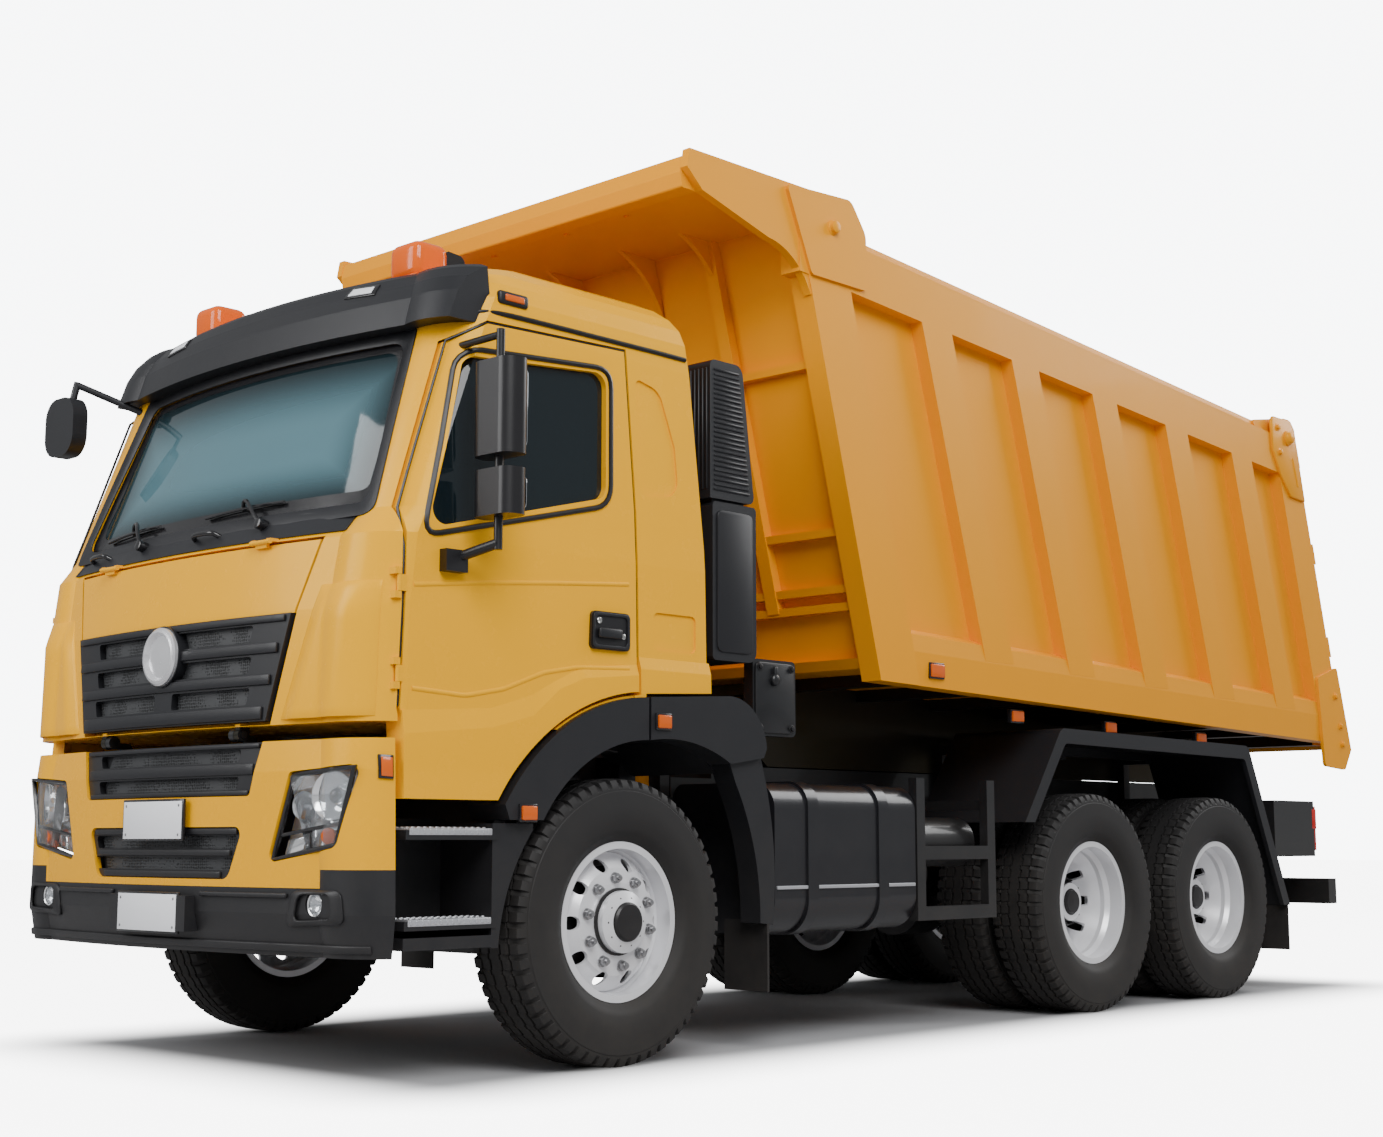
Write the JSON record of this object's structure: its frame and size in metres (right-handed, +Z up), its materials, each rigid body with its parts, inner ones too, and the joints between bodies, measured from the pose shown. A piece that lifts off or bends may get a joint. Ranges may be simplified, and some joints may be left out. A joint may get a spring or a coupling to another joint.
{
  "type": "dump truck",
  "caption": "Cab-over dump truck with a hollow tilting cab, steered front axle, twin rear wheels and a ribbed rear-tipping bed with hoist, canopy and tailgate.",
  "frame": {"origin": "on the ground below the middle of the truck's length and width", "axes": "+X forward along the truck, +Y to its left, +Z up"},
  "size_m": [7.615, 2.934, 3.7398],
  "materials": {
    "yellow_paint": "semi-gloss yellow paint",
    "dark_frame": "satin dark grey chassis paint",
    "black_plastic": "grained black plastic",
    "tyre": "worn black tyre rubber",
    "rim_paint": "light grey wheel paint",
    "glass": "tinted window glass",
    "lamp_lens": "clear lamp lens",
    "red_lens": "red lamp lens",
    "amber_lens": "amber lamp lens",
    "rubber": "black rubber sheet",
    "grey_steel": "grey painted steel",
    "seat_fabric": "dark grey woven cloth",
    "rod_steel": "ground steel",
    "engine_iron": "grey painted iron"
  },
  "bodies": {
    "chassis": {"chassis_frame": "dark_frame", "subframe": "dark_frame", "front_axle": "dark_frame", "rear_axles": "dark_frame", "rear_suspension": "dark_frame", "driveline": "engine_iron", "fuel_tank": "grey_steel", "side_equipment": "dark_frame", "side_guards": "grey_steel", "cab_steps": "black_plastic", "lower_panel": "yellow_paint", "front_bumper": "black_plastic", "lower_grille": "black_plastic", "front_lamps": "lamp_lens", "rear_flares": "black_plastic", "air_intake": "black_plastic", "rear_mudguards": "black_plastic", "mud_flaps": "rubber", "rear_bumper": "dark_frame", "tail_lamps": "red_lens"},
    "cab": {"cab_shell": "yellow_paint", "cab_glass": "glass", "cowl": "black_plastic", "sun_visor": "yellow_paint", "beacons": "amber_lens", "roof_fittings": "black_plastic", "cab_seats": "seat_fabric", "dashboard": "black_plastic", "front_flares": "black_plastic"},
    "front_flap": {"cab_flap": "yellow_paint", "upper_grille": "black_plastic"},
    "door_left": {"door_left": "yellow_paint", "door_glass_left": "glass", "door_fittings_left": "black_plastic"},
    "door_right": {"door_right": "yellow_paint", "door_glass_right": "glass", "door_fittings_right": "black_plastic"},
    "knuckle_left": {"knuckle_left": "dark_frame"},
    "knuckle_right": {"knuckle_right": "dark_frame"},
    "front_wheel_left": {"front_tyre_left": "tyre", "front_rim_left": "rim_paint"},
    "front_wheel_right": {"front_tyre_right": "tyre", "front_rim_right": "rim_paint"},
    "rear_wheels_1_left": {"rear_tyres_1_left": "tyre", "rear_rims_1_left": "rim_paint"},
    "rear_wheels_1_right": {"rear_tyres_1_right": "tyre", "rear_rims_1_right": "rim_paint"},
    "rear_wheels_2_left": {"rear_tyres_2_left": "tyre", "rear_rims_2_left": "rim_paint"},
    "rear_wheels_2_right": {"rear_tyres_2_right": "tyre", "rear_rims_2_right": "rim_paint"},
    "hoist_barrel": {"hoist_barrel": "yellow_paint"},
    "hoist_stage_1": {"hoist_stage_1": "rod_steel"},
    "hoist_stage_2": {"hoist_stage_2": "rod_steel"},
    "hoist_stage_3": {"hoist_stage_3": "rod_steel"},
    "bed": {"bed_tub": "yellow_paint", "headboard": "yellow_paint"},
    "tailgate": {"tailgate": "yellow_paint"}
  },
  "joints": [
    {"name": "cab_tilt", "type": "hinge", "parent": "chassis", "child": "cab", "pos_m": [3.7225, 0, 1.24], "axis": [0, 1, 0], "range_deg": [0, 50]},
    {"name": "front_flap_lift", "type": "hinge", "parent": "cab", "child": "front_flap", "pos_m": [3.7105, 0, 1.948], "axis": [0, -1, 0], "range_deg": [0, 65]},
    {"name": "door_left_swing", "type": "hinge", "parent": "cab", "child": "door_left", "pos_m": [3.5705, 1.18, 1.55], "axis": [0, 0, -1], "range_deg": [0, 60]},
    {"name": "door_right_swing", "type": "hinge", "parent": "cab", "child": "door_right", "pos_m": [3.5705, -1.18, 1.55], "axis": [0, 0, 1], "range_deg": [0, 60]},
    {"name": "steer_left", "type": "hinge", "parent": "chassis", "child": "knuckle_left", "pos_m": [2.4725, 0.93, 0.5475], "axis": [0, 0, 1], "range_deg": [-35, 35]},
    {"name": "steer_right", "type": "hinge", "parent": "chassis", "child": "knuckle_right", "pos_m": [2.4725, -0.93, 0.5475], "axis": [0, 0, 1], "range_deg": [-35, 35]},
    {"name": "front_roll_left", "type": "hinge", "parent": "knuckle_left", "child": "front_wheel_left", "pos_m": [2.4725, 1.065, 0.5475], "axis": [0, 1, 0], "continuous": true},
    {"name": "rear_roll_1_left", "type": "hinge", "parent": "chassis", "child": "rear_wheels_1_left", "pos_m": [-0.8875, 0.8975, 0.5475], "axis": [0, 1, 0], "continuous": true},
    {"name": "rear_roll_2_left", "type": "hinge", "parent": "chassis", "child": "rear_wheels_2_left", "pos_m": [-2.1575, 0.8975, 0.5475], "axis": [0, 1, 0], "continuous": true},
    {"name": "front_roll_right", "type": "hinge", "parent": "knuckle_right", "child": "front_wheel_right", "pos_m": [2.4725, -1.065, 0.5475], "axis": [0, 1, 0], "continuous": true},
    {"name": "rear_roll_1_right", "type": "hinge", "parent": "chassis", "child": "rear_wheels_1_right", "pos_m": [-0.8875, -0.8975, 0.5475], "axis": [0, 1, 0], "continuous": true},
    {"name": "rear_roll_2_right", "type": "hinge", "parent": "chassis", "child": "rear_wheels_2_right", "pos_m": [-2.1575, -0.8975, 0.5475], "axis": [0, 1, 0], "continuous": true},
    {"name": "bed_tip", "type": "hinge", "parent": "chassis", "child": "bed", "pos_m": [-3.2775, 0, 1.17], "axis": [0, -1, 0], "range_deg": [0, 46]},
    {"name": "tailgate_swing", "type": "hinge", "parent": "bed", "child": "tailgate", "pos_m": [-3.2275, 0, 3.35], "axis": [0, 1, 0], "range_deg": [0, 70]},
    {"name": "hoist_swing", "type": "hinge", "parent": "chassis", "child": "hoist_barrel", "pos_m": [1.2825, 0, 0.95], "axis": [0, -1, 0], "range_deg": [0, 30.15]},
    {"name": "hoist_slide_1", "type": "slide", "parent": "hoist_barrel", "child": "hoist_stage_1", "axis": [0.0333, 0, 0.9994], "range_m": [0, 1.1553]},
    {"name": "hoist_slide_2", "type": "slide", "parent": "hoist_stage_1", "child": "hoist_stage_2", "axis": [0.0333, 0, 0.9994], "range_m": [0, 1.1553]},
    {"name": "hoist_slide_3", "type": "slide", "parent": "hoist_stage_2", "child": "hoist_stage_3", "axis": [0.0333, 0, 0.9994], "range_m": [0, 1.1553]}
  ],
  "couplings": [
    {"joint": "steer_right", "follows": "steer_left", "ratio": 1},
    {"joint": "hoist_swing", "follows": "bed_tip", "ratio": 0.6543},
    {"joint": "hoist_slide_1", "follows": "bed_tip", "m_per_rad": 1.4384},
    {"joint": "hoist_slide_2", "follows": "bed_tip", "m_per_rad": 1.4384},
    {"joint": "hoist_slide_3", "follows": "bed_tip", "m_per_rad": 1.4384}
  ]
}
